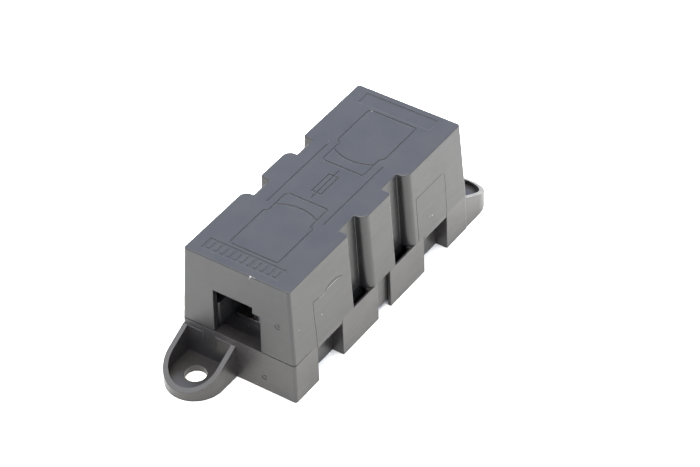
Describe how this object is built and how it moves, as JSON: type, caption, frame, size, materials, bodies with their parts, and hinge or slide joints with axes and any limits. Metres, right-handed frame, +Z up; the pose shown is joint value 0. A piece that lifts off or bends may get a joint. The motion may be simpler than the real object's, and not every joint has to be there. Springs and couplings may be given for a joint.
{
  "type": "bolt-down strip fuse holder",
  "caption": "Bolt-down holder for a flat high-current fuse: moulded base with two diagonal screw lugs, threaded studs and a tapered tilt-off cover with cable windows.",
  "frame": {"origin": "on the mounting surface, under the middle of the holder", "axes": "+X along the holder from the end that lifts (near) to the hinge end (far), +Y across it, +Z up out of the mounting surface"},
  "size_m": [0.12, 0.0384, 0.0391],
  "materials": {
    "black_nylon": "fine matte moulded texture",
    "zinc_plated_steel": "bright zinc plate",
    "tinned_copper": "dull tin plate over copper alloy",
    "fuse_moulding": "matte moulded"
  },
  "bodies": {
    "base": {"base": "black_nylon", "near_stud": "zinc_plated_steel", "far_stud": "zinc_plated_steel", "fuse_element": "tinned_copper", "fuse_body_lower": "fuse_moulding", "fuse_body_upper": "fuse_moulding"},
    "cover": {"cover": "black_nylon"},
    "near_washers": {"near_flat_washer": "zinc_plated_steel", "near_spring_washer": "zinc_plated_steel"},
    "near_nut": {"near_nut": "zinc_plated_steel"},
    "far_washers": {"far_flat_washer": "zinc_plated_steel", "far_spring_washer": "zinc_plated_steel"},
    "far_nut": {"far_nut": "zinc_plated_steel"}
  },
  "joints": [
    {"name": "cover_tilt", "type": "hinge", "parent": "base", "child": "cover", "pos_m": [0.0437, 0, 0.0134], "axis": [0, 1, 0], "range_deg": [0, 90]},
    {"name": "near_nut_lift", "type": "slide", "parent": "base", "child": "near_washers", "axis": [0, 0, 1], "range_m": [0, 0.01]},
    {"name": "near_nut_turn", "type": "hinge", "parent": "near_washers", "child": "near_nut", "pos_m": [-0.0254, 0, 0.0206], "axis": [0, 0, 1], "range_deg": [0, 2880]},
    {"name": "far_nut_lift", "type": "slide", "parent": "base", "child": "far_washers", "axis": [0, 0, 1], "range_m": [0, 0.01]},
    {"name": "far_nut_turn", "type": "hinge", "parent": "far_washers", "child": "far_nut", "pos_m": [0.0254, 0, 0.0206], "axis": [0, 0, 1], "range_deg": [0, 2880]}
  ],
  "couplings": [
    {"joint": "near_nut_lift", "follows": "near_nut_turn", "m_per_rad": 0.00019894},
    {"joint": "far_nut_lift", "follows": "far_nut_turn", "m_per_rad": 0.00019894}
  ]
}
